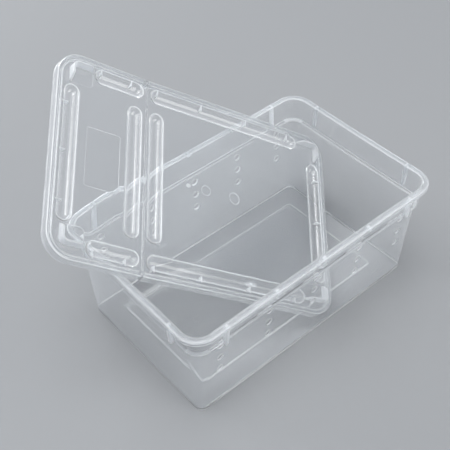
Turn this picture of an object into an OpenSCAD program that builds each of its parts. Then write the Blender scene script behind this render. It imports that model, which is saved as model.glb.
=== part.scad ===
// Clear box with vent holes and a lift-off lid that has a hinged flap.
// Frame: origin at the centre of the box's base, +Z up, +X along the box's long side.
// The lid leans in the open box, as in the photograph.

/* [Box] */
// Overall length of the rim
rim_l = 320; // [300:1:340]
// Overall width of the rim
rim_w = 207; // [190:1:220]
// Overall height
box_h = 126; // [110:1:140]
// Corner radius of the rim
rim_r = 23.5; // [20:0.5:28]
// Wall thickness
wall = 1.4; // [1:0.1:2.5]
// Height of the ledge under the rim collar
ledge_z = 97.8; // [90:0.1:105]
// Depth of the skirt that hangs from the rim
skirt_d = 5; // [3:0.5:8]
// Vent hole diameter
vent_d = 7; // [3:0.5:9]
// Pitch of the vent columns
vent_pitch = 60.5; // [50:0.5:65]

/* [Lid] */
// Overall length of the lid
lid_l = 323.2; // [310:1:340]
// Overall width of the lid
lid_w = 210.4; // [200:0.1:220]
// Corner radius of the lid
lid_r = 25.5; // [20:0.5:30]
// Thickness of the lid's skin
lid_t = 1.3; // [1:0.1:2]
// Depth of the lid's outer skirt
lid_skirt = 10.2; // [8:0.1:14]
// Depth of the lid's inner wall
lid_inner = 5.45; // [4:0.05:7]
// Position of the crease along the lid
crease_u = -64.5; // [-80:0.5:-50]
// Height of the stacking fences
fence_h = 8.5; // [5:0.5:10]
// Width of the stiffening channels
chan_w = 14.7; // [10:0.1:18]
// Depth of the stiffening channels
chan_d = 6.3; // [4:0.1:7]

/* [Pose] */
// Lid position along the box
lid_x = -29.33; // [-60:0.01:0]
// Lid position across the box
lid_y = 41.33; // [0:0.01:60]
// Lid height
lid_z = 131.45; // [110:0.01:160]
// Lid roll
lid_rx = 25.21; // [10:0.01:40]
// Lid pitch
lid_ry = 32.04; // [10:0.01:45]
// Lid yaw
lid_rz = -26.44; // [-45:0.01:0]
// Angle of the flap above the main panel
flap_rest = 2.5; // [0:0.1:20]

/* [Hidden] */
clear_pp = [0.86, 0.89, 0.92, 0.45];
milky_pp = [0.90, 0.92, 0.94, 0.55];
$fn = 64;
cx = rim_l / 2 - rim_r;
cy = rim_w / 2 - rim_r;
zt = box_h;
lx = lid_l / 2 - lid_r;
ly = lid_w / 2 - lid_r;
co = rim_r - 6.45;

// box section: x is the distance out from the corner centres, y the height
tub_sec = [
  [0, 0], [6.6, 0], [7.6, 0.4], [8.0, 1.4], [12.9, ledge_z], [16.4, ledge_z + 0.2], [16.8, ledge_z + 1],
  [18.05, zt - 1.5], [rim_r - 1.3, zt - 1.5], [rim_r - 1.3, zt - skirt_d], [rim_r, zt - skirt_d],
  [rim_r, zt - 1.8], [rim_r - 0.25, zt - 0.85], [rim_r - 0.85, zt - 0.25], [rim_r - 1.8, zt], [co + 0.5, zt], [co + 0.1, zt - 0.15], [co - 0.3, zt - 0.6],
  [15.4, ledge_z + 1.8], [15.0, ledge_z + 1.3], [11.6, ledge_z + 1.1], [11.5, ledge_z], [6.75, 3.4], [6.1, 2.1], [5.0, 1.6], [0, 1.6]];

// lid edge section, same axes, y measured from the lid's top face
lid_sec = [
  [0, -lid_t], [lid_r - 5.6, -lid_t], [lid_r - 5.6, -lid_inner], [lid_r - 4.35, -lid_inner], [lid_r - 4.35, -lid_t],
  [lid_r - 1.25, -lid_t], [lid_r - 1.25, -lid_skirt + 0.6], [lid_r - 0.95, -lid_skirt], [lid_r, -lid_skirt],
  [lid_r, -lid_skirt + 1.8], [lid_r - 0.3, -lid_skirt + 2.2], [lid_r - 0.3, -1.0], [lid_r - 0.6, -0.35], [lid_r - 1.1, 0], [0, 0]];

// one section carried round a rounded rectangle, filled in the middle
module swept(sec, hx, hy) {
  for (s = [[1, 1, 0], [-1, 1, 90], [-1, -1, 180], [1, -1, 270]])
    translate([s[0] * hx, s[1] * hy, 0]) rotate([0, 0, s[2]]) rotate_extrude(angle = 90) polygon(sec);
  for (a = [0, 180]) rotate([0, 0, a]) translate([-hx, hy, 0]) rotate([90, 0, 90]) linear_extrude(2 * hx) polygon(sec);
  for (a = [90, 270]) rotate([0, 0, a]) translate([-hy, hx, 0]) rotate([90, 0, 90]) linear_extrude(2 * hy) polygon(sec);
}

module rrect(x, y, r, z0, z1) {
  translate([0, 0, z0]) linear_extrude(z1 - z0) union() {
    square([2 * x, 2 * (y - r)], center = true);
    square([2 * (x - r), 2 * y], center = true);
    for (a = [-1, 1], b = [-1, 1]) translate([a * (x - r), b * (y - r)]) circle(r);
  }
}

// plate standing out of the box side: section in (out, z), thickness along the side
module side_plate(sec, t) { translate([-t / 2, 0, 0]) rotate([90, 0, 90]) linear_extrude(t) polygon(sec); }
fin_sec = [[16.2, ledge_z + 0.3], [20.2, ledge_z + 0.3], [rim_r - 1, zt - skirt_d + 0.4], [rim_r - 1, zt - 1.2], [17.2, zt - 1.2]];
web_sec = [[17.2, zt - 4.4], [rim_r - 1, zt - 4.4], [rim_r - 1, zt - 1.2], [17.2, zt - 1.2]];

module tub() color(clear_pp) {
  difference() {
    union() {
      swept(tub_sec, cx, cy);
      translate([-cx, -cy, 0]) cube([2 * cx, 2 * cy, 1.6]);
      rrect(119.3, 63.5, 3.5, 1.5, 2.6);
      for (a = [0, 180]) rotate([0, 0, a]) {
        for (x = [-120, 120]) translate([x, cy, 0]) side_plate(fin_sec, 3.2);
        for (x = [-60, 0, 60]) translate([x, cy, 0]) side_plate(web_sec, 4);
      }
      for (a = [90, 270]) rotate([0, 0, a])
        for (y = [-65, 65]) translate([y, cx, 0]) side_plate(fin_sec, 3.2);
    }
    difference() {
      rrect(118, 62.2, 2.5, -1, 1.0);
      translate([0, 0, -2]) cylinder(r = 6, h = 5);
    }
    for (i = [-2:2], z = [90, 72.5, 55], b = [-1, 1])
      translate([i * vent_pitch, b * 92, z]) rotate([90, 0, 0]) cylinder(d = vent_d, h = 16, center = true);
  }
}

// lying channel with rounded ends, along the lid's long (long = true) or short side
function arc_end(r, l, n) = [for (i = [0:n]) [r * cos(90 * i / n), l / 2 - r + r * sin(90 * i / n)]];
module channel(l, r, long) {
  m = 4;
  a = arc_end(r, l, m);
  b = [for (i = [m:-1:0]) [a[i][0], -a[i][1]]];
  rotate(long ? [0, 90, 0] : [90, 0, 0]) rotate_extrude($fn = 28) polygon(concat(b, a));
}
// ball radius and centre height that give the wanted width and depth
cr = (chan_w * chan_w / 4 + chan_d * chan_d) / (2 * chan_d);
ch = cr - chan_d;
// the channels: centre u, centre v, length, along the long side
main_ch = [[145.9, 0, 138, false], [-53, 0, 138, false], [31.7, 89.2, 182.8, true], [31.7, -89.2, 182.8, true]];
flap_ch = [[-145.9, 0, 138, false], [-77.4, 0, 138, false], [-95.3, 89.2, 52.8, true], [-95.3, -89.2, 52.8, true]];
// end radii grow with the wall, so the lying length grows by the same amount
module channels(list, grow) {
  for (c = list) translate([c[0], c[1], ch]) channel(c[2] + 2 * grow + 2 * (cr - chan_w / 2), cr + grow, c[3]);
}

// small triangular fins between a channel's outer flank and the edge
fin_tri = [[91.5, -chan_d - 0.6], [98, -0.9], [91.5, -0.9]];
module long_fin(u, s) { translate([u - 0.6, 0, 0]) rotate([0, 0, s > 0 ? 0 : 180]) translate([s > 0 ? 0 : -1.2, 0, 0]) rotate([90, 0, 90]) linear_extrude(1.2) polygon(fin_tri); }
module end_fin(v, s) { rotate([0, 0, s > 0 ? -90 : 90]) translate([(s > 0 ? -v : v) - 0.6, lx - ly + 0, 0]) rotate([90, 0, 90]) linear_extrude(1.2) polygon([for (p = fin_tri) [p[0] + 0.2, p[1]]]); }

// L-shaped stacking fence with ramped ends, drawn for the +u +v corner
module fence() {
  fr = 6;
  translate([147.3 - fr + 2, 89.8 - fr + 2, -0.5]) rotate_extrude(angle = 90) translate([fr - 2, 0]) square([2, fence_h + 0.5]);
  translate([124.3, 91.8, 0]) rotate([90, 0, 0]) linear_extrude(2)
    polygon([[0, -0.5], [147.3 - fr + 2 - 124.3, -0.5], [147.3 - fr + 2 - 124.3, fence_h], [6, fence_h], [4.6, fence_h - 0.6], [0, 0.4]]);
  translate([147.3, 72.8, 0]) rotate([90, 0, 90]) linear_extrude(2)
    polygon([[0, -0.5], [89.8 - fr + 2 - 72.8, -0.5], [89.8 - fr + 2 - 72.8, fence_h], [6, fence_h], [4.6, fence_h - 0.6], [0, 0.4]]);
}

module lid_skin(u0, u1) {
  intersection() {
    union() {
      swept(lid_sec, lx, ly, $fn = 40);
      translate([-lx, -ly, -lid_t]) cube([2 * lx, 2 * ly, lid_t]);
    }
    translate([u0, -150, -50]) cube([u1 - u0, 300, 100]);
  }
}

// closing webs across the skirt channel, beside the crease
module crease_webs(u0, u1) {
  for (s = [0, 1]) mirror([0, s, 0])
    translate([u0, ly + lid_r - 5.6, -lid_skirt]) cube([u1 - u0, 4.9, lid_skirt - 0.6]);
}

gap = 0.95;
main_u0 = crease_u + gap - 0.05;
flap_u1 = crease_u - gap;

module main_flat() {
  difference() {
    union() {
      lid_skin(main_u0, 200);
      crease_webs(main_u0, main_u0 + 1.3);
      intersection() {
        channels(main_ch, 1.15);
        translate([main_u0, -150, -40]) cube([300, 300, 39.4]);
      }
      for (u = [-52, 0, 56.5, 112], s = [-1, 1]) long_fin(u, s);
      for (v = [-50, 0, 50]) end_fin(v, 1);
      for (s = [0, 1]) mirror([0, s, 0]) fence();
      translate([-16, 0, -0.4]) cylinder(d = 4, h = 1.2, $fn = 32);
    }
    channels(main_ch, 0);
  }
}

module flap_flat() {
  difference() {
    union() {
      lid_skin(-200, flap_u1);
      crease_webs(flap_u1 - 1.3, flap_u1);
      intersection() {
        channels(flap_ch, 1.15);
        translate([-300 + flap_u1, -150, -40]) cube([300, 300, 39.4]);
      }
      for (u = [-115.5, -82], s = [-1, 1]) long_fin(u, s);
      for (v = [-50, 0, 50]) end_fin(v, -1);
      for (s = [0, 1]) mirror([0, s, 0]) mirror([1, 0, 0]) fence();
    }
    channels(flap_ch, 0);
    translate([-128.5, -30.6, -0.25]) cube([36, 61.2, 2]);
  }
}

module lid_place() translate([lid_x, lid_y, lid_z]) rotate([lid_rx, lid_ry, lid_rz]) children();
module flap_place() lid_place() translate([crease_u, 0, 0]) rotate([0, flap_rest, 0]) translate([-crease_u, 0, 0]) children();

module lid_main_panel() color(milky_pp) lid_place() main_flat();
module lid_flap() color(milky_pp) flap_place() flap_flat();
module living_hinge() color(clear_pp) lid_place() translate([crease_u - 0.6, -103.5, -0.4]) cube([main_u0 - crease_u + 0.6, 207, 0.4]);

tub();
lid_main_panel();
lid_flap();
living_hinge();
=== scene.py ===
import math
import bpy
import bmesh
import mathutils.geometry
from mathutils import Matrix, Vector


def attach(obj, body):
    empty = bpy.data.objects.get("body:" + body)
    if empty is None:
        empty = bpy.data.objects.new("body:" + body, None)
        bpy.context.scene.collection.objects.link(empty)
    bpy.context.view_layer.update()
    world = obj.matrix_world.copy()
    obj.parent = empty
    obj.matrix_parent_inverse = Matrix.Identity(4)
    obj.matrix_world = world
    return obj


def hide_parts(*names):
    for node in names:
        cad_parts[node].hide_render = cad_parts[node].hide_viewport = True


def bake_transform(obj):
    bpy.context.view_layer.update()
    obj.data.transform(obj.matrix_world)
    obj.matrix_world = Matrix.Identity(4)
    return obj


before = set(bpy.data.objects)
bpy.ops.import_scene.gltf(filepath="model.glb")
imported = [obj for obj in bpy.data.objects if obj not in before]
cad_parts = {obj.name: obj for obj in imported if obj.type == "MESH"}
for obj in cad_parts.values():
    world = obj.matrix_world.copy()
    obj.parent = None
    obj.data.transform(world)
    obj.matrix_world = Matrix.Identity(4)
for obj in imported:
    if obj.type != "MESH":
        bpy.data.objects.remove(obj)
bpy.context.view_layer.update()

MM = 0.001


# ------------------------------------------------------------------ camera
cam_data = bpy.data.cameras.new("camera")
cam = bpy.data.objects.new("camera", cam_data)
bpy.context.scene.collection.objects.link(cam)
right = Vector((0.75595, -0.65447, -0.01472))
up = Vector((0.47195, 0.52927, 0.70508))
back = Vector((-0.45366, -0.53995, 0.70897))
rot = Matrix((right, up, back)).transposed().to_4x4()
cam.matrix_world = Matrix.Translation(Vector((-0.41582, -0.44809, 0.70569))) @ rot
cam_data.sensor_width = 36.0
cam_data.lens = 68.3
cam_data.shift_x = 0.0070
cam_data.shift_y = 0.0031
cam_data.clip_start = 0.01
cam_data.clip_end = 50
bpy.context.scene.camera = cam


# ------------------------------------------------------------------ mesh helpers
def fillet(pts, k=6, tags=False, hold=0.0):
    """Rounds a polyline: pts are (x, y, radius) or (x, y, radius, material); k segments to a quarter turn.
    With tags, also gives the material of each segment: that of the corner it rounds, and of a straight between two alike corners shorter than 2.
    hold sets a point that far in from both ends of each long straight, so that the straight is shaded flat."""
    out = []
    mats = []
    n = len(pts)
    for i, q4 in enumerate(pts):
        x, y, r = q4[:3]
        mt = q4[3] if len(q4) > 3 else 0
        if i in (0, n - 1) or r <= 0:
            out.append((x, y))
            mats.append(mt)
            continue
        p, a, b = Vector((x, y)), Vector(pts[i - 1][:2]), Vector(pts[i + 1][:2])
        u, v = (a - p).normalized(), (b - p).normalized()
        ang = math.acos(max(-1, min(1, u.dot(v))))
        t = r / math.tan(ang / 2)
        t = min(t, 0.48 * (a - p).length if i > 1 else 0.98 * (a - p).length, 0.48 * (b - p).length if i < n - 2 else 0.98 * (b - p).length)
        r = t * math.tan(ang / 2)
        c = p + (u + v).normalized() * (r / math.sin(ang / 2))
        s, e = p + u * t, p + v * t
        a0 = math.atan2(s.y - c.y, s.x - c.x)
        a1 = math.atan2(e.y - c.y, e.x - c.x)
        d = (a1 - a0 + math.pi) % (2 * math.pi) - math.pi
        m = max(2, int(round(abs(d) / (math.pi / 2) * k)))
        for j in range(m + 1):
            q = a0 + d * j / m
            out.append((c.x + r * math.cos(q), c.y + r * math.sin(q)))
            mats.append(mt)
    if hold:
        more, keep = [out[0]], [mats[0]]
        for a, b, mt in zip(out[:-1], out[1:], mats[1:]):
            d = math.dist(a, b)
            if d > 5 * hold:
                for t in (hold / d, 1 - hold / d):
                    more.append((a[0] + (b[0] - a[0]) * t, a[1] + (b[1] - a[1]) * t))
                    keep.append(keep[-1] if t < 0.5 and d < 2.0 and keep[-1] == mt else (mt if d < 2.0 and keep[-1] == mt else 0))
            more.append(b)
            keep.append(mt)
        out, mats = more, keep
    if not tags:
        return out
    seg = []
    for i in range(len(out) - 1):
        short = math.dist(out[i], out[i + 1]) < 2.0
        seg.append(mats[i] if mats[i] == mats[i + 1] and short else 0)
    return out, seg


def rrect_loop(hx, hy, r, z, n=12, m=8, bow=0.0):
    """Rounded rectangle, anticlockwise from the +x side, with m pieces to a side and n to a corner."""
    r = max(r, 0.0)
    pts = []
    cor = [(hx - r, hy - r, 0), (-(hx - r), hy - r, 90), (-(hx - r), -(hy - r), 180), (hx - r, -(hy - r), 270)]
    for i, (cx, cy, a) in enumerate(cor):
        for j in range(n + 1):
            q = math.radians(a + 90.0 * j / n)
            pts.append((cx + r * math.cos(q), cy + r * math.sin(q), z))
        nx, ny, na = cor[(i + 1) % 4]
        q = math.radians(na)
        ax, ay = pts[-1][0], pts[-1][1]
        bx, by = nx + r * math.cos(q), ny + r * math.sin(q)
        for t in [0.006] + [j / m for j in range(1, m)] + [0.994]:
            w = bow * 4 * t * (1 - t)
            pts.append((ax + (bx - ax) * t - w * math.cos(q), ay + (by - ay) * t - w * math.sin(q), z))
    return pts


def obround_loop(cu, cv, half, r, h, along_u, n=10, m=6):
    """Stadium outline round the line of half-length half - the end radius is r."""
    pts = []
    for s in (1, -1):
        for j in range(2 * n + 1):
            q = math.radians(-90 + 180.0 * j / (2 * n)) if s > 0 else math.radians(90 + 180.0 * j / (2 * n))
            pts.append((s * half + r * math.cos(q), r * math.sin(q)))
        for j in range(1, m):
            t = j / m
            pts.append((s * half * (1 - 2 * t), s * r))
    if not along_u:
        pts = [(-y, x) for x, y in pts]
    return [(cu + x, cv + y, h) for x, y in pts]


class Shell:
    """A mesh under construction, in millimetres, with a material index to each face."""

    def __init__(self):
        self.bm = bmesh.new()

    def loop(self, pts):
        return [self.bm.verts.new(p) for p in pts]

    def face(self, vs, mat=0):
        vs = [v for i, v in enumerate(vs) if v != vs[i - 1]]
        if len(set(vs)) < 3:
            return None
        try:
            f = self.bm.faces.new(vs)
        except ValueError:
            return None
        f.material_index = mat
        return f

    def skin(self, loops, closed=True, mat=0, caps=(False, False)):
        rings = [self.loop(p) for p in loops]
        each = mat if isinstance(mat, list) else [mat] * len(rings)
        for a, b, mt in zip(rings[:-1], rings[1:], each):
            n = len(a)
            for i in range(n if closed else n - 1):
                j = (i + 1) % n
                self.face([a[i], a[j], b[j], b[i]], mt)
        if caps[0]:
            self.face(list(reversed(rings[0])), each[0])
        if caps[1]:
            self.face(rings[-1], each[-1])
        return rings

    def sheet(self, outer, holes, mat=0, flip=False):
        """Flat sheet with holes, all loops at one height."""
        def within(p, lp):
            hit = False
            for i, q in enumerate(lp):
                a, b = lp[i - 1].co, q.co
                if (a.y > p[1]) != (b.y > p[1]) and p[0] < a.x + (b.x - a.x) * (p[1] - a.y) / (b.y - a.y):
                    hit = not hit
            return hit
        loops = [self.loop(lp) for lp in [outer] + holes]
        vs = [v for lp in loops for v in lp]
        edges, n = [], 0
        for lp in loops:
            edges += [(n + i, n + (i + 1) % len(lp)) for i in range(len(lp))]
            n += len(lp)
        pts, _, tris, src, _, _ = mathutils.geometry.delaunay_2d_cdt([v.co.xy for v in vs], edges, [], 0, 1e-6)
        at = [vs[q[0]] if q else self.bm.verts.new((p[0], p[1], outer[0][2])) for p, q in zip(pts, src)]
        for t in tris:
            c = (sum(pts[i][0] for i in t) / 3, sum(pts[i][1] for i in t) / 3)
            if not within(c, loops[0]) or any(within(c, h) for h in loops[1:]):
                continue
            f = self.face([at[i] for i in t], mat)
            if f:
                f.normal_update()
                if (f.normal.z < 0) != flip:
                    f.normal_flip()

    def prism(self, poly, axis, a, b, mat=0, r=0.0):
        """Closed prism: poly is a list of (x, y) in the plane across axis, which runs from a to b."""
        def put(p, t):
            return {"x": (t, p[0], p[1]), "y": (p[0], t, p[1]), "z": (p[0], p[1], t)}[axis]
        c = (sum(p[0] for p in poly) / len(poly), sum(p[1] for p in poly) / len(poly))
        small = [(p[0] + (c[0] - p[0]) * r, p[1] + (c[1] - p[1]) * r) for p in poly]
        e = 0.25 if r else 0
        s = 1 if b > a else -1
        loops = [[put(p, a) for p in small], [put(p, a + e * s) for p in poly], [put(p, b - e * s) for p in poly], [put(p, b) for p in small]]
        if not r:
            loops = [loops[1], loops[2]]
        self.skin(loops, mat=mat, caps=(True, True))

    def make(self, name, mats, matrix=None, angle=32.0, merge=1e-4):
        bm = self.bm
        bmesh.ops.remove_doubles(bm, verts=bm.verts, dist=merge)
        bmesh.ops.dissolve_degenerate(bm, dist=1e-5, edges=bm.edges)
        bmesh.ops.recalc_face_normals(bm, faces=bm.faces)
        bmesh.ops.scale(bm, vec=(MM, MM, MM), verts=bm.verts)
        if matrix is not None:
            bmesh.ops.transform(bm, matrix=matrix, verts=bm.verts)
        me = bpy.data.meshes.new(name)
        bm.to_mesh(me)
        bm.free()
        for m in mats:
            me.materials.append(m)
        me.shade_smooth()
        me.set_sharp_from_angle(angle=math.radians(angle))
        ob = bpy.data.objects.new(name, me)
        bpy.context.scene.collection.objects.link(ob)
        return ob


# ------------------------------------------------------------------ materials
def plastic(name, haze, edge, tint, rough=0.10, wave=0.02, streak=1.0, patch=None, power=5.0, through=0.4, white=0.93):
    """Clear moulded plastic: mostly see-through, a thin milky haze that thickens where the surface turns away, and a gloss coat.
    haze is the milkiness face on, edge at a grazing view (power says how close to grazing), tint the colour of light passing through
    one skin, through the share of the milkiness that scatters light onwards, white how pale the milkiness is."""
    m = bpy.data.materials.new(name)
    m.use_nodes = True
    nt = m.node_tree
    nt.nodes.clear()
    N, L = nt.nodes.new, nt.links.new
    out = N("ShaderNodeOutputMaterial")
    geo = N("ShaderNodeTexCoord")
    # moulded waviness and fine handling marks
    nz = N("ShaderNodeTexNoise"); nz.inputs["Scale"].default_value = 30.0; nz.inputs["Detail"].default_value = 0.0
    L(geo.outputs["Object"], nz.inputs["Vector"])
    sc = N("ShaderNodeMapping"); sc.inputs["Scale"].default_value = (900.0, 140.0, 300.0); sc.inputs["Rotation"].default_value = (0.2, 0.1, 0.6)
    L(geo.outputs["Object"], sc.inputs["Vector"])
    fine = N("ShaderNodeTexNoise"); fine.inputs["Scale"].default_value = 1.0; fine.inputs["Detail"].default_value = 3.0
    L(sc.outputs["Vector"], fine.inputs["Vector"])
    bump = N("ShaderNodeBump"); bump.inputs["Strength"].default_value = 0.25; bump.inputs["Distance"].default_value = wave * 0.01
    L(nz.outputs["Fac"], bump.inputs["Height"])
    cloud = N("ShaderNodeTexNoise"); cloud.inputs["Scale"].default_value = 9.0; cloud.inputs["Detail"].default_value = 3.0
    L(geo.outputs["Object"], cloud.inputs["Vector"])
    # haze amount: face-on haze, cloudier patches, thicker towards grazing
    lw = N("ShaderNodeLayerWeight"); lw.inputs["Blend"].default_value = 0.5
    L(bump.outputs["Normal"], lw.inputs["Normal"])
    pw = N("ShaderNodeMath"); pw.operation = "POWER"; pw.inputs[1].default_value = power
    L(lw.outputs["Facing"], pw.inputs[0])
    ed = N("ShaderNodeMath"); ed.operation = "MULTIPLY"; ed.inputs[1].default_value = edge
    L(pw.outputs[0], ed.inputs[0])
    cl = N("ShaderNodeMapRange"); cl.inputs["From Min"].default_value = 0.3; cl.inputs["From Max"].default_value = 0.7
    cl.inputs["To Min"].default_value = haze * (1 - 0.35 * streak); cl.inputs["To Max"].default_value = haze * (1 + 0.35 * streak)
    L(cloud.outputs["Fac"], cl.inputs["Value"])
    fr = N("ShaderNodeMapRange"); fr.inputs["From Min"].default_value = 0.62; fr.inputs["From Max"].default_value = 0.8
    fr.inputs["To Min"].default_value = 0.0; fr.inputs["To Max"].default_value = haze * 0.5 * streak
    L(fine.outputs["Fac"], fr.inputs["Value"])
    s1 = N("ShaderNodeMath"); s1.operation = "ADD"; L(cl.outputs[0], s1.inputs[0]); L(fr.outputs[0], s1.inputs[1])
    s2 = N("ShaderNodeMath"); s2.operation = "ADD"; s2.use_clamp = True; L(s1.outputs[0], s2.inputs[0]); L(ed.outputs[0], s2.inputs[1])
    haze_out = s2.outputs[0]
    if patch:
        # a milky spot round the gate: (x, y, radius) in metres
        vd = N("ShaderNodeVectorMath"); vd.operation = "DISTANCE"; vd.inputs[1].default_value = (patch[0], patch[1], 0.002)
        L(geo.outputs["Object"], vd.inputs[0])
        pm = N("ShaderNodeMapRange"); pm.interpolation_type = "SMOOTHSTEP"
        pm.inputs["From Min"].default_value = patch[2]; pm.inputs["From Max"].default_value = patch[2] * 0.3
        pm.inputs["To Min"].default_value = 0.0; pm.inputs["To Max"].default_value = 0.45
        L(vd.outputs["Value"], pm.inputs["Value"])
        s3 = N("ShaderNodeMath"); s3.operation = "ADD"; s3.use_clamp = True
        L(haze_out, s3.inputs[0]); L(pm.outputs[0], s3.inputs[1]); haze_out = s3.outputs[0]
    # light bends through the closed skin; what the lamps send through it goes straight
    thru = N("ShaderNodeBsdfTransparent"); thru.inputs["Color"].default_value = (*tint, 1)
    glass = N("ShaderNodeBsdfRefraction"); glass.inputs["Color"].default_value = (*tint, 1)
    glass.inputs["Roughness"].default_value = 0.0; glass.inputs["IOR"].default_value = 1.49
    lp = N("ShaderNodeLightPath")
    clear = N("ShaderNodeMixShader"); L(lp.outputs["Is Shadow Ray"], clear.inputs[0]); L(glass.outputs[0], clear.inputs[1]); L(thru.outputs[0], clear.inputs[2])
    # the milkiness scatters light both back and through
    back = N("ShaderNodeBsdfDiffuse"); back.inputs["Color"].default_value = (white, white * 1.02, white * 1.045, 1)
    fwd = N("ShaderNodeBsdfTranslucent"); fwd.inputs["Color"].default_value = (white, white * 1.02, white * 1.045, 1)
    milk = N("ShaderNodeMixShader"); milk.inputs[0].default_value = through
    L(back.outputs[0], milk.inputs[1]); L(fwd.outputs[0], milk.inputs[2])
    body = N("ShaderNodeMixShader"); L(haze_out, body.inputs[0]); L(clear.outputs[0], body.inputs[1]); L(milk.outputs[0], body.inputs[2])
    gloss = N("ShaderNodeBsdfGlossy"); gloss.inputs["Roughness"].default_value = rough; gloss.inputs["Color"].default_value = (1, 1, 1, 1)
    L(bump.outputs["Normal"], gloss.inputs["Normal"])
    fn = N("ShaderNodeFresnel"); fn.inputs["IOR"].default_value = 1.49
    L(bump.outputs["Normal"], fn.inputs["Normal"])
    top = N("ShaderNodeMixShader"); L(fn.outputs[0], top.inputs[0]); L(body.outputs[0], top.inputs[1]); L(gloss.outputs[0], top.inputs[2])
    L(top.outputs[0], out.inputs["Surface"])
    return m


tub_mat = plastic("clear_plastic", haze=0.04, edge=0.85, tint=(0.982, 0.987, 0.991), patch=(0.0, 0.0, 0.008))
lid_mat = plastic("clear_lid_plastic", haze=0.03, edge=0.85, tint=(0.982, 0.987, 0.991))
rim_mat = plastic("clear_rim_plastic", haze=0.11, edge=0.85, tint=(0.975, 0.982, 0.987))
milk_mat = plastic("milky_rib_plastic", haze=0.78, edge=0.25, tint=(0.96, 0.97, 0.975), rough=0.35, streak=0.3, through=0.6)
edge_mat = plastic("milky_edge_plastic", haze=0.54, edge=0.3, tint=(0.96, 0.97, 0.975), rough=0.24, streak=0.4)
faint_mat = plastic("faint_edge_plastic", haze=0.30, edge=0.6, tint=(0.965, 0.975, 0.98), rough=0.15, streak=0.5)
corner_mat = plastic("corner_plastic", haze=0.04, edge=0.7, tint=(0.978, 0.984, 0.989), power=2.2)
bowl_mat = plastic("channel_plastic", haze=0.03, edge=0.9, tint=(0.982, 0.987, 0.991), rough=0.14, power=2.0)
lip_mat = plastic("channel_lip_plastic", haze=0.5, edge=0.5, tint=(0.965, 0.975, 0.98), rough=0.38, streak=0.4)
# ledge plastic: partly the real milkiness of the thick ledge and base edge, partly painted light - a paler, more
# see-through copy of the milky plastic that lifts these downward-facing surfaces out of their shade
ledge_painted_light_mat = plastic("ledge_plastic", haze=0.78, edge=0.3, tint=(0.965, 0.975, 0.98), rough=0.2, streak=0.3, through=0.8, white=0.97)
bend_mat = plastic("corner_bend_plastic", haze=0.10, edge=0.5, tint=(0.98, 0.985, 0.99), streak=0.4, power=3.0)
MATS_TUB = [tub_mat, rim_mat, milk_mat, edge_mat, faint_mat, corner_mat, bend_mat, ledge_painted_light_mat]
MATS_LID = [lid_mat, rim_mat, milk_mat, edge_mat, faint_mat, bowl_mat, lip_mat]
RIM, MILK, EDGE, FAINT, CORNER, BEND = 1, 2, 3, 4, 5, 6
BOWL, LIP, LEDGE = 5, 6, 7


# ------------------------------------------------------------------ the tub
CX, CY = 136.5, 80.0


def build_tub():
    s = Shell()
    z = 126.0
    # section: o is the distance out from the corner centres
    # the base fillet and the underside of the ledge take LEDGE, the paler ledge plastic whose extra whiteness is
    # painted light against their shade
    prof, seg = fillet([
        (0.5, 0.0, 0), (8.0, 0.0, 1.3, LEDGE), (8.095, 2.0, 0, LEDGE), (12.9, 97.8, 0.5, FAINT), (16.7, 98.0, 1.1, LEDGE), (18.05, z - 1.5, 0.6), (22.2, z - 1.5, 0.4), (22.2, z - 5.0, 0.25, EDGE),
        (23.5, z - 5.0, 0.35, EDGE), (23.5, z, 2.0, FAINT), (16.65, z, 0.8, EDGE), (16.39, 120.5, 0), (15.4, 99.4, 0.9), (11.55, 98.95, 0.9), (6.75, 1.6, 2.6), (0.5, 1.6, 0)], k=5, tags=True, hold=0.35)
    rings = []
    mats = []

    def add(hx, hy, r, zz, bow=0.0, mat=0):
        rings.append(rrect_loop(hx, hy, r, zz, bow=bow))
        mats.append(mat)

    # recess under the base, the section all round, then the raised middle of the floor
    add(117.2, 61.4, 1.8, 1.0)
    add(117.7, 61.9, 2.3, 0.9)
    add(117.9, 62.1, 2.5, 0.3)
    add(118.2, 62.4, 2.8, 0.0)
    for (o, zz), mt in zip(prof, seg + [0]):
        w = 0.5 * max(0.0, min(1.0, (zz - 20) / 100.0))
        # the collar and flange are thicker and milkier than the walls
        add(CX + o, CY + o, max(o, 0.5), zz, bow=w, mat=mt if mt or zz < 120.9 else RIM)
    add(120.3, 64.5, 4.5, 1.6)
    add(119.9, 64.1, 4.1, 1.75, mat=EDGE)
    add(119.5, 63.7, 3.7, 2.48, mat=EDGE)
    add(119.1, 63.3, 3.3, 2.6, mat=EDGE)
    add(118.5, 62.7, 2.7, 2.6)
    s.skin(rings, mat=mats, caps=(True, True))
    # the rounded upright corners of the walls are a little milkier, most of all where the bend begins
    for f in s.bm.faces:
        c = f.calc_center_median()
        u, v = abs(c.x) - CX, abs(c.y) - CY
        if f.material_index == 0 and u > 0 and v > 0 and 2.0 < c.z < 97.0 and math.hypot(u, v) > 7.3 + (c.z - 1.4) / 96.4 * 4.9:
            f.material_index = BEND if 0.03 * max(u, v) < min(u, v) < 0.27 * max(u, v) else CORNER
        # the ledge band under the rim takes the paler ledge plastic: painted light that lifts it out of the shade it
        # sits in
        if u > 0 and v > 0 and 97.7 < c.z < 100.2 and math.hypot(u, v) > 11.6:
            f.material_index = LEDGE
    return s


def side_blocks(s):
    z = 126.0
    fin = [(16.9, 98.6), (20.3, 98.6), (20.7, 99.4), (22.3, z - 4.7), (22.3, z - 1.4), (18.2, z - 1.4)]
    web = [(17.95, z - 4.5), (22.3, z - 4.5), (22.3, z - 1.4), (18.1, z - 1.4)]
    for sg in (1, -1):
        for x in (-120, 120):
            s.prism([(sg * (CY + o), h) for o, h in fin], "x", x - 1.6, x + 1.6, mat=2, r=0.06)
        for x in (-60, 0, 60):
            s.prism([(sg * (CY + o), h) for o, h in web], "x", x - 2, x + 2, mat=2, r=0.08)
        for y in (-65, 65):
            s.prism([(sg * (CX + o), h) for o, h in fin], "y", y - 1.6, y + 1.6, mat=2, r=0.06)


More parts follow.
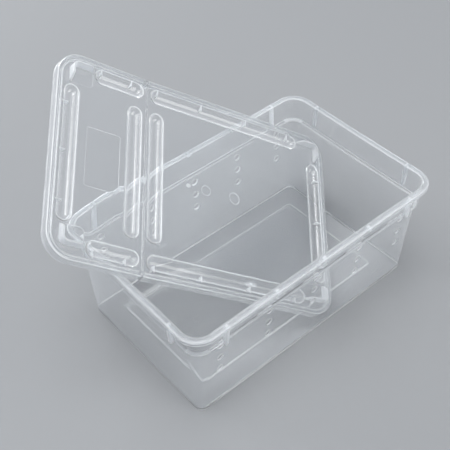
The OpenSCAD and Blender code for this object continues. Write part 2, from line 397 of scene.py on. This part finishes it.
def ring_mark(s, x, y, z, r, w=0.45, h=0.14, mat=0):
    """Faint circular mould line standing h proud."""
    prof = [(r - w, -0.05), (r - w * 0.5, h * 0.8), (r, h), (r + w * 0.5, h * 0.8), (r + w, -0.05)]
    n = 40
    loops = [[(x + p[0] * math.cos(2 * math.pi * i / n), y + p[0] * math.sin(2 * math.pi * i / n), z + p[1]) for p in prof] for i in range(n)]
    loops.append(loops[0])
    s.skin(loops, closed=True, mat=mat)


def cut_vents(ob):
    c = Shell()
    n = 32
    for sg in (1, -1):
        for i in range(-2, 3):
            for zz in (90.0, 72.5, 55.0):
                o = 8.0 + (zz - 1.4) / 96.4 * 4.9
                yo = CY + o
                prof = [(4.3, -1.9), (3.72, -1.28), (3.5, -1.05), (3.5, -0.35), (3.72, -0.12), (4.3, 0.5)]
                loops = []
                for r, d in prof:
                    loops.append([(i * 60.5 + r * math.cos(2 * math.pi * k / n), sg * (yo + d), zz + r * math.sin(2 * math.pi * k / n)) for k in range(n)])
                c.skin(loops, mat=MILK, caps=(True, True))
    cut = c.make("vent_cutter", MATS_TUB)
    mod = ob.modifiers.new("vents", "BOOLEAN")
    mod.operation = "DIFFERENCE"
    mod.solver = "EXACT"
    mod.object = cut
    dg = bpy.context.evaluated_depsgraph_get()
    me = bpy.data.meshes.new_from_object(ob.evaluated_get(dg))
    ob.modifiers.clear()
    old = ob.data
    ob.data = me
    bpy.data.meshes.remove(old)
    bpy.data.objects.remove(cut)
    me.shade_smooth()
    me.set_sharp_from_angle(angle=math.radians(32))


tub_shell = build_tub()
tub = tub_shell.make("tub_shell", MATS_TUB)
cut_vents(tub)

# webs, fins and moulding marks are separate closed solids on the same moulding
bits = Shell()
side_blocks(bits)
for x, y in ((-93.0, 0.0), (-74.0, 1.0)):
    ring_mark(bits, x, y, 2.6, 4.4, mat=FAINT)
pad = [(2 * math.pi * i / 28) for i in range(28)]
bits.skin([[(r * math.cos(a), r * math.sin(a), h) for a in pad] for r, h in ((5.6, 0.0), (6.0, 0.3), (6.0, 1.02))], caps=(True, True), mat=2)
bits.skin([[(r * math.cos(a), r * math.sin(a), h) for a in pad] for r, h in ((1.5, 2.55), (1.5, 3.0), (1.2, 3.2))], caps=(True, True), mat=2)
tub_bits = bits.make("tub_webs_and_fins", MATS_TUB)
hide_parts("tub")
for o in (tub, tub_bits):
    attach(o, "tub")


# ------------------------------------------------------------------ the lid
LL, LW, LR = 161.6, 105.2, 25.5
LX, LY = LL - LR, LW - LR
T = 1.3
SK = 10.2
CREASE = -64.5
MAIN_U0 = CREASE + 0.9
FLAP_U1 = CREASE - 0.95
CH_W, CH_D = 14.7, 6.3
MAIN_CH = [(145.9, 0.0, 138.0, False), (-53.0, 0.0, 138.0, False), (31.7, 89.2, 182.8, True), (31.7, -89.2, 182.8, True)]
FLAP_CH = [(-145.9, 0.0, 138.0, False), (-77.4, 0.0, 138.0, False), (-95.3, 89.2, 52.8, True), (-95.3, -89.2, 52.8, True)]

R_LID = (Matrix.Rotation(math.radians(-26.44), 4, "Z") @ Matrix.Rotation(math.radians(32.04), 4, "Y") @ Matrix.Rotation(math.radians(25.21), 4, "X"))
M_LID = Matrix.Translation(Vector((-29.33, 41.33, 131.45)) * MM) @ R_LID
FLAP_REST = math.radians(2.5)
M_FLAP = M_LID @ Matrix.Translation((CREASE * MM, 0, 0)) @ Matrix.Rotation(FLAP_REST, 4, "Y") @ Matrix.Translation((-CREASE * MM, 0, 0))

O_IN = LR - 8.0  # where the flat sheets meet the edge section


def panel_path(u_end, o, sgn, n=14):
    """Path round one end of the lid at distance o out from the corner centres, from the crease at -v to the crease at +v. sgn is the end (+1 right, -1 left)."""
    pts = [(u_end, -(LY + o)), (u_end + sgn * 3.0, -(LY + o))]
    m = 8
    a = u_end + sgn * 3.0
    for j in range(1, m):
        pts.append((a + (sgn * LX - a) * j / m, -(LY + o)))
    for j in range(n + 1):
        q = math.radians(-90 + 90.0 * j / n)
        pts.append((sgn * (LX + o * math.cos(q)), -LY + o * math.sin(q)))
    for j in range(1, m):
        pts.append((sgn * (LX + o), -LY + 2 * LY * j / m))
    for j in range(n + 1):
        q = math.radians(90.0 * j / n)
        pts.append((sgn * (LX + o * math.cos(q)), LY + o * math.sin(q)))
    for j in range(1, m):
        pts.append((sgn * LX + (a - sgn * LX) * j / m, LY + o))
    pts += [(u_end + sgn * 3.0, LY + o), (u_end, LY + o)]
    return pts


def build_panel(name, u_end, sgn, channels, label=None):
    s = Shell()
    sec, seg = fillet([
        (O_IN, -T, 0), (LR - 5.6, -T, 0.45), (LR - 5.6, -5.45, 0.3, EDGE), (LR - 4.35, -5.45, 0.3, EDGE), (LR - 4.35, -T, 0.45),
        (LR - 1.25, -T, 0.5), (LR - 1.25, -SK + 0.6, 0.3), (LR - 0.95, -SK, 0.25, FAINT), (LR, -SK, 0.3, FAINT), (LR, -SK + 1.8, 0.3),
        (LR - 0.3, -SK + 2.2, 0.25), (LR - 0.3, 0.0, 0.95, EDGE), (O_IN, 0.0, 0)], k=5, tags=True, hold=0.3)
    # the skirt is a little milkier than the flat skin
    seg = [RIM if m == 0 and a[0] > LR - 1.5 and min(a[1], b[1]) < -3 else m for m, a, b in zip(seg, sec[:-1], sec[1:])]
    # sweep: one ring of section points to each station of the path
    paths = [panel_path(u_end, o, sgn) for o, _ in sec]
    stations = len(paths[0])
    loops = [[(paths[k][i][0], paths[k][i][1], sec[k][1]) for k in range(len(sec))] for i in range(stations)]
    rings = [s.loop(lp) for lp in loops]
    for a, b in zip(rings[:-1], rings[1:]):
        for k in range(len(sec) - 1):
            s.face([a[k], a[k + 1], b[k + 1], b[k]], seg[k])
    s.face(rings[0], 0)
    s.face(rings[-1], 0)
    # flat sheets, top and bottom, with holes for channels and recesses
    def outer(h):
        pts = [(x, y, h) for x, y in panel_path(u_end, O_IN, sgn)]
        y0, y1 = pts[-1][1], pts[0][1]
        return pts
    lim_u, lim_v = LX + O_IN - 0.05, LY + O_IN - 0.05
    def keep_in(lp):
        """The channels run up to the edge section and no further."""
        return [(max(-lim_u, min(lim_u, x)), max(-lim_v, min(lim_v, y)), z) for x, y, z in lp]
    top_holes, low_holes = [], []
    rr = CH_W / 2
    for cu, cv, length, along in channels:
        half = length / 2 - rr
        # inside: rounded lip, then the bowl down to the bottom
        cr = (rr * rr + CH_D * CH_D) / (2 * CH_D)
        ch = cr - CH_D
        a0 = math.asin((ch + 0.75) / cr)
        prof, seg = fillet([(rr + 1.0, 0.0, 0), (rr - 0.1, 0.0, 0.7, LIP), (cr * math.cos(a0 + 0.12), ch - cr * math.sin(a0 + 0.12), 0)], k=5, tags=True)
        arc = []
        m = 9
        for j in range(1, m + 1):
            q = a0 + 0.12 + (math.pi / 2 - a0 - 0.12) * j / m
            arc.append((max(cr * math.cos(q), 0.0), ch - cr * math.sin(q)))
        prof = prof + arc
        loops = [keep_in(obround_loop(cu, cv, half, r, h, along)) for r, h in prof]
        s.skin(loops, mat=[FAINT] + [t if t else BOWL for t in seg[1:]] + [BOWL] * (m + 1))
        top_holes.append(loops[0])
        ro = cr + 1.15
        b0 = math.asin((ch + T + 0.5) / ro)
        prof = fillet([(rr + 3.2, -T, 0), (ro * math.cos(b0) + 0.25, -T, 0.9), (ro * math.cos(b0 + 0.2), ch - ro * math.sin(b0 + 0.2), 0)], k=4)
        arc = []
        for j in range(1, m + 1):
            q = b0 + 0.2 + (math.pi / 2 - b0 - 0.2) * j / m
            arc.append((max(ro * math.cos(q), 0.0), ch - ro * math.sin(q)))
        prof = prof + arc
        prof[0] = (min(prof[0][0], rr + 1.9), prof[0][1])
        loops = [keep_in(obround_loop(cu, cv, half, r, h, along)) for r, h in prof]
        s.skin(list(reversed(loops)), mat=BOWL)
        low_holes.append(loops[0])
    if label:
        u0, u1, v0, v1 = label
        cu, cv, hx, hy = (u0 + u1) / 2, (v0 + v1) / 2, (u1 - u0) / 2, (v1 - v0) / 2
        loops = [[(cu + x, cv + y, h) for x, y, h in rrect_loop(hx - d, hy - d, 2.2 - d, h, n=5, m=2)] for d, h in ((0, 0), (0.22, -0.05), (0.4, -0.22), (0.62, -0.25))]
        s.skin(loops, mat=FAINT)
        s.face(s.loop(loops[-1]), 0)
        top_holes.append(loops[0])
    for sv in (1, -1):
        # shallow recess inside each stacking fence
        cu, cv = sgn * 137.4, sv * 82.0
        hx, hy = 12.6, 10.2
        loops = [[(cu + x, cv + y, h) for x, y, h in rrect_loop(hx - d, hy - d, 5.0 - d, h, n=6, m=2)] for d, h in ((0, 0), (0.2, -0.04), (0.38, -0.18), (0.6, -0.2))]
        s.skin(loops, mat=FAINT)
        s.face(s.loop(loops[-1]), 0)
        top_holes.append(loops[0])
    s.sheet(outer(0.0), top_holes)
    s.sheet(outer(-T), low_holes, flip=True)
    # the edge along the crease
    e = LY + O_IN
    s.face(s.loop([(u_end, -e, 0.0), (u_end, e, 0.0), (u_end, e, -T), (u_end, -e, -T)]), 0)
    return s


def fence(s, su, sv, mat):
    """L-shaped stacking fence with ramped ends."""
    t = 2.0
    rm = 5.0
    cu, cv = 143.3, 85.8
    path = []
    L1 = cu - 124.3
    L2 = cv - 72.8
    for d in (0.0, 0.8, 2.0, 3.4, 4.6, 5.3, 6.2, 9.0, 12.0, 15.0):
        if d < L1:
            path.append((124.3 + d, cv + rm, 0, 1, min(d, 99)))
    for j in range(0, 9):
        q = math.radians(90 - 90 * j / 8)
        path.append((cu + rm * math.cos(q), cv + rm * math.sin(q), math.cos(q), math.sin(q), 99))
    for d in (9.0, 6.2, 5.3, 4.6, 3.4, 2.0, 0.8, 0.0):
        if d < L2:
            path.append((cu + rm, 72.8 + d, 1, 0, d))
    def height(d):
        return min(8.5, 0.5 + d / 4.6 * 7.4 if d < 4.6 else 7.9 + (d - 4.6) / 1.4 * 0.6)
    loops = []
    for x, y, nx, ny, d in path:
        h = height(d)
        k = min(0.45, h * 0.4)
        sec = [(-t / 2, -0.3), (t / 2, -0.3), (t / 2, h - k), (t / 2 - k * 0.3, h - k * 0.3), (t / 2 - k, h), (-t / 2 + k, h), (-t / 2 + k * 0.3, h - k * 0.3), (-t / 2, h - k)]
        loops.append([(su * (x + nx * a), sv * (y + ny * a), b) for a, b in sec])
    s.skin(loops, mat=mat, caps=(True, True))


def fins(s, us, vs, sgn, mat):
    tri = [(91.5, -6.9), (97.9, -1.1), (97.9, -0.9), (91.5, -0.9)]
    for u in us:
        for sv in (1, -1):
            s.prism([(sv * p[0], p[1]) for p in tri], "x", u - 0.6, u + 0.6, mat=mat, r=0.03)
    for v in vs:
        s.prism([(sgn * (p[0] + 56.6), p[1]) for p in tri], "y", v - 0.6, v + 0.6, mat=mat, r=0.03)


def crease_web(s, u0, u1, mat):
    for sv in (1, -1):
        y0, y1 = sv * (LY + LR - 5.5), sv * (LY + LR - 0.75)
        s.prism([(u0, y0), (u1, y0), (u1, y1), (u0, y1)], "z", -SK + 0.1, -T + 0.1, mat=mat, r=0.05)


main = build_panel("lid", MAIN_U0, 1, MAIN_CH).make("lid_main_panel_skin", MATS_LID, M_LID)
flap = build_panel("flap", FLAP_U1, -1, FLAP_CH, label=(-128.5, -92.5, -30.6, 30.6)).make("lid_flap_skin", MATS_LID, M_FLAP)

d = Shell()
for sv in (1, -1):
    fence(d, 1, sv, 2)
fins(d, (-52.0, 0.0, 56.5, 112.0), (-50.0, 0.0, 50.0), 1, MILK)
crease_web(d, MAIN_U0 + 0.02, MAIN_U0 + 1.3, FAINT)
ring_mark(d, 4.6, 0.0, 0.0, 5.2, mat=FAINT)
ring_mark(d, 39.0, 0.0, 0.0, 6.0, mat=FAINT)
nub = [(2 * math.pi * i / 24) for i in range(24)]
d.skin([[(-16 + r * math.cos(a), r * math.sin(a), h) for a in nub] for r, h in ((2.4, -0.1), (2.3, 0.5), (1.7, 0.9))], caps=(True, True), mat=2)
main_bits = d.make("lid_main_fences_and_fins", MATS_LID, M_LID)

d = Shell()
for sv in (1, -1):
    fence(d, -1, sv, 2)
fins(d, (-115.5, -82.0), (-50.0, 0.0, 50.0), -1, MILK)
crease_web(d, FLAP_U1 - 1.3, FLAP_U1 - 0.02, FAINT)
flap_bits = d.make("lid_flap_fences_and_fins", MATS_LID, M_FLAP)

for o in (main, main_bits):
    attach(o, "lid")
for o in (flap, flap_bits):
    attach(o, "flap")
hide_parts("lid_main_panel")
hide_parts("lid_flap")

# the living hinge: a thin skin bent between the two panels
h = Shell()
loops = []
nu = 10
for side in (0, 1):
    for i in range(nu + 1):
        t = i / nu if side == 0 else 1 - i / nu
        a = Vector(((MAIN_U0 + 0.05), 0, -0.15))
        b = Vector((CREASE, 0, 0)) + Matrix.Rotation(FLAP_REST, 3, "Y") @ Vector((FLAP_U1 - 0.05 - CREASE, 0, -0.15))
        p = a.lerp(b, t)
        dip = 0.22 * 4 * t * (1 - t)
        th = 0.16 if side == 0 else -0.16
        loops.append([(p.x, -103.3 + 206.6 * k / 24, p.z - dip + th) for k in range(25)])
rings = [h.loop(lp) for lp in loops]
for a, b in zip(rings, rings[1:] + rings[:1]):
    for k in range(24):
        h.face([a[k], a[k + 1], b[k + 1], b[k]], 0)
h.face([r[0] for r in rings], 0)
h.face([r[-1] for r in rings], 0)
hinge = h.make("living_hinge_skin", [rim_mat], M_LID, angle=50)
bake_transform(hinge)
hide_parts("living_hinge")


# ------------------------------------------------------------------ floor, light
fm = bpy.data.materials.new("floor")
fm.use_nodes = True
fb = fm.node_tree.nodes["Principled BSDF"]
fb.inputs["Base Color"].default_value = (0.24, 0.246, 0.254, 1)
fb.inputs["Roughness"].default_value = 0.75
fb.inputs["Specular IOR Level"].default_value = 0.2
me = bpy.data.meshes.new("floor")
S = 30.0
me.from_pydata([(-S, -S, 0), (S, -S, 0), (S, S, 0), (-S, S, 0)], [], [(0, 1, 2, 3)])
me.materials.append(fm)
floor = bpy.data.objects.new("floor", me)
floor.location = (0, 0, -0.0002)
bpy.context.scene.collection.objects.link(floor)

world = bpy.data.worlds.new("world")
bpy.context.scene.world = world
world.use_nodes = True
bg = world.node_tree.nodes["Background"]
bg.inputs["Color"].default_value = (0.80, 0.85, 0.92, 1)
bg.inputs["Strength"].default_value = 0.60


def area(name, loc, target, size, size_y, power, colour=(1, 1, 1)):
    ld = bpy.data.lights.new(name, "AREA")
    ld.shape = "RECTANGLE"
    ld.size, ld.size_y = size, size_y
    ld.energy = power
    ld.color = colour
    ob = bpy.data.objects.new(name, ld)
    ob.location = loc
    ob.rotation_mode = "QUATERNION"
    ob.rotation_quaternion = (Vector(target) - Vector(loc)).to_track_quat("-Z", "Y")
    bpy.context.scene.collection.objects.link(ob)
    return ob


area("softbox_left", (-1.5, 0.5, 1.0), (0, 0, 0.08), 0.9, 1.4, 6, (0.97, 0.98, 1.0))
area("softbox_right", (0.5, -1.7, 1.0), (0, 0, 0.08), 2.2, 1.2, 22, (1.0, 0.99, 0.97))
area("softbox_back", (-0.3, 1.8, 0.9), (0, 0, 0.08), 2.4, 1.0, 26)
area("softbox_top", (0.0, 0.1, 2.2), (0, 0, 0), 2.2, 2.2, 12)
area("lamp_top", (0.0, 0.1, 2.1), (0, 0, 0), 0.45, 0.45, 3)
sky = bpy.data.lights.new("ceiling", "SUN")
sky.energy = 1.6
sky.angle = math.radians(55)
sky_ob = bpy.data.objects.new("ceiling", sky)
sky_ob.rotation_mode = "QUATERNION"
sky_ob.rotation_quaternion = Vector((0.35, 0.1, -0.93)).to_track_quat("-Z", "Y")
sky_ob.location = (-0.7, -0.2, 2.0)
bpy.context.scene.collection.objects.link(sky_ob)

cy = bpy.context.scene.cycles
cy.max_bounces = 32
cy.transparent_max_bounces = 64
cy.transmission_bounces = 32
cy.glossy_bounces = 8
cy.use_denoising = True
bpy.context.scene.view_settings.view_transform = "Standard"
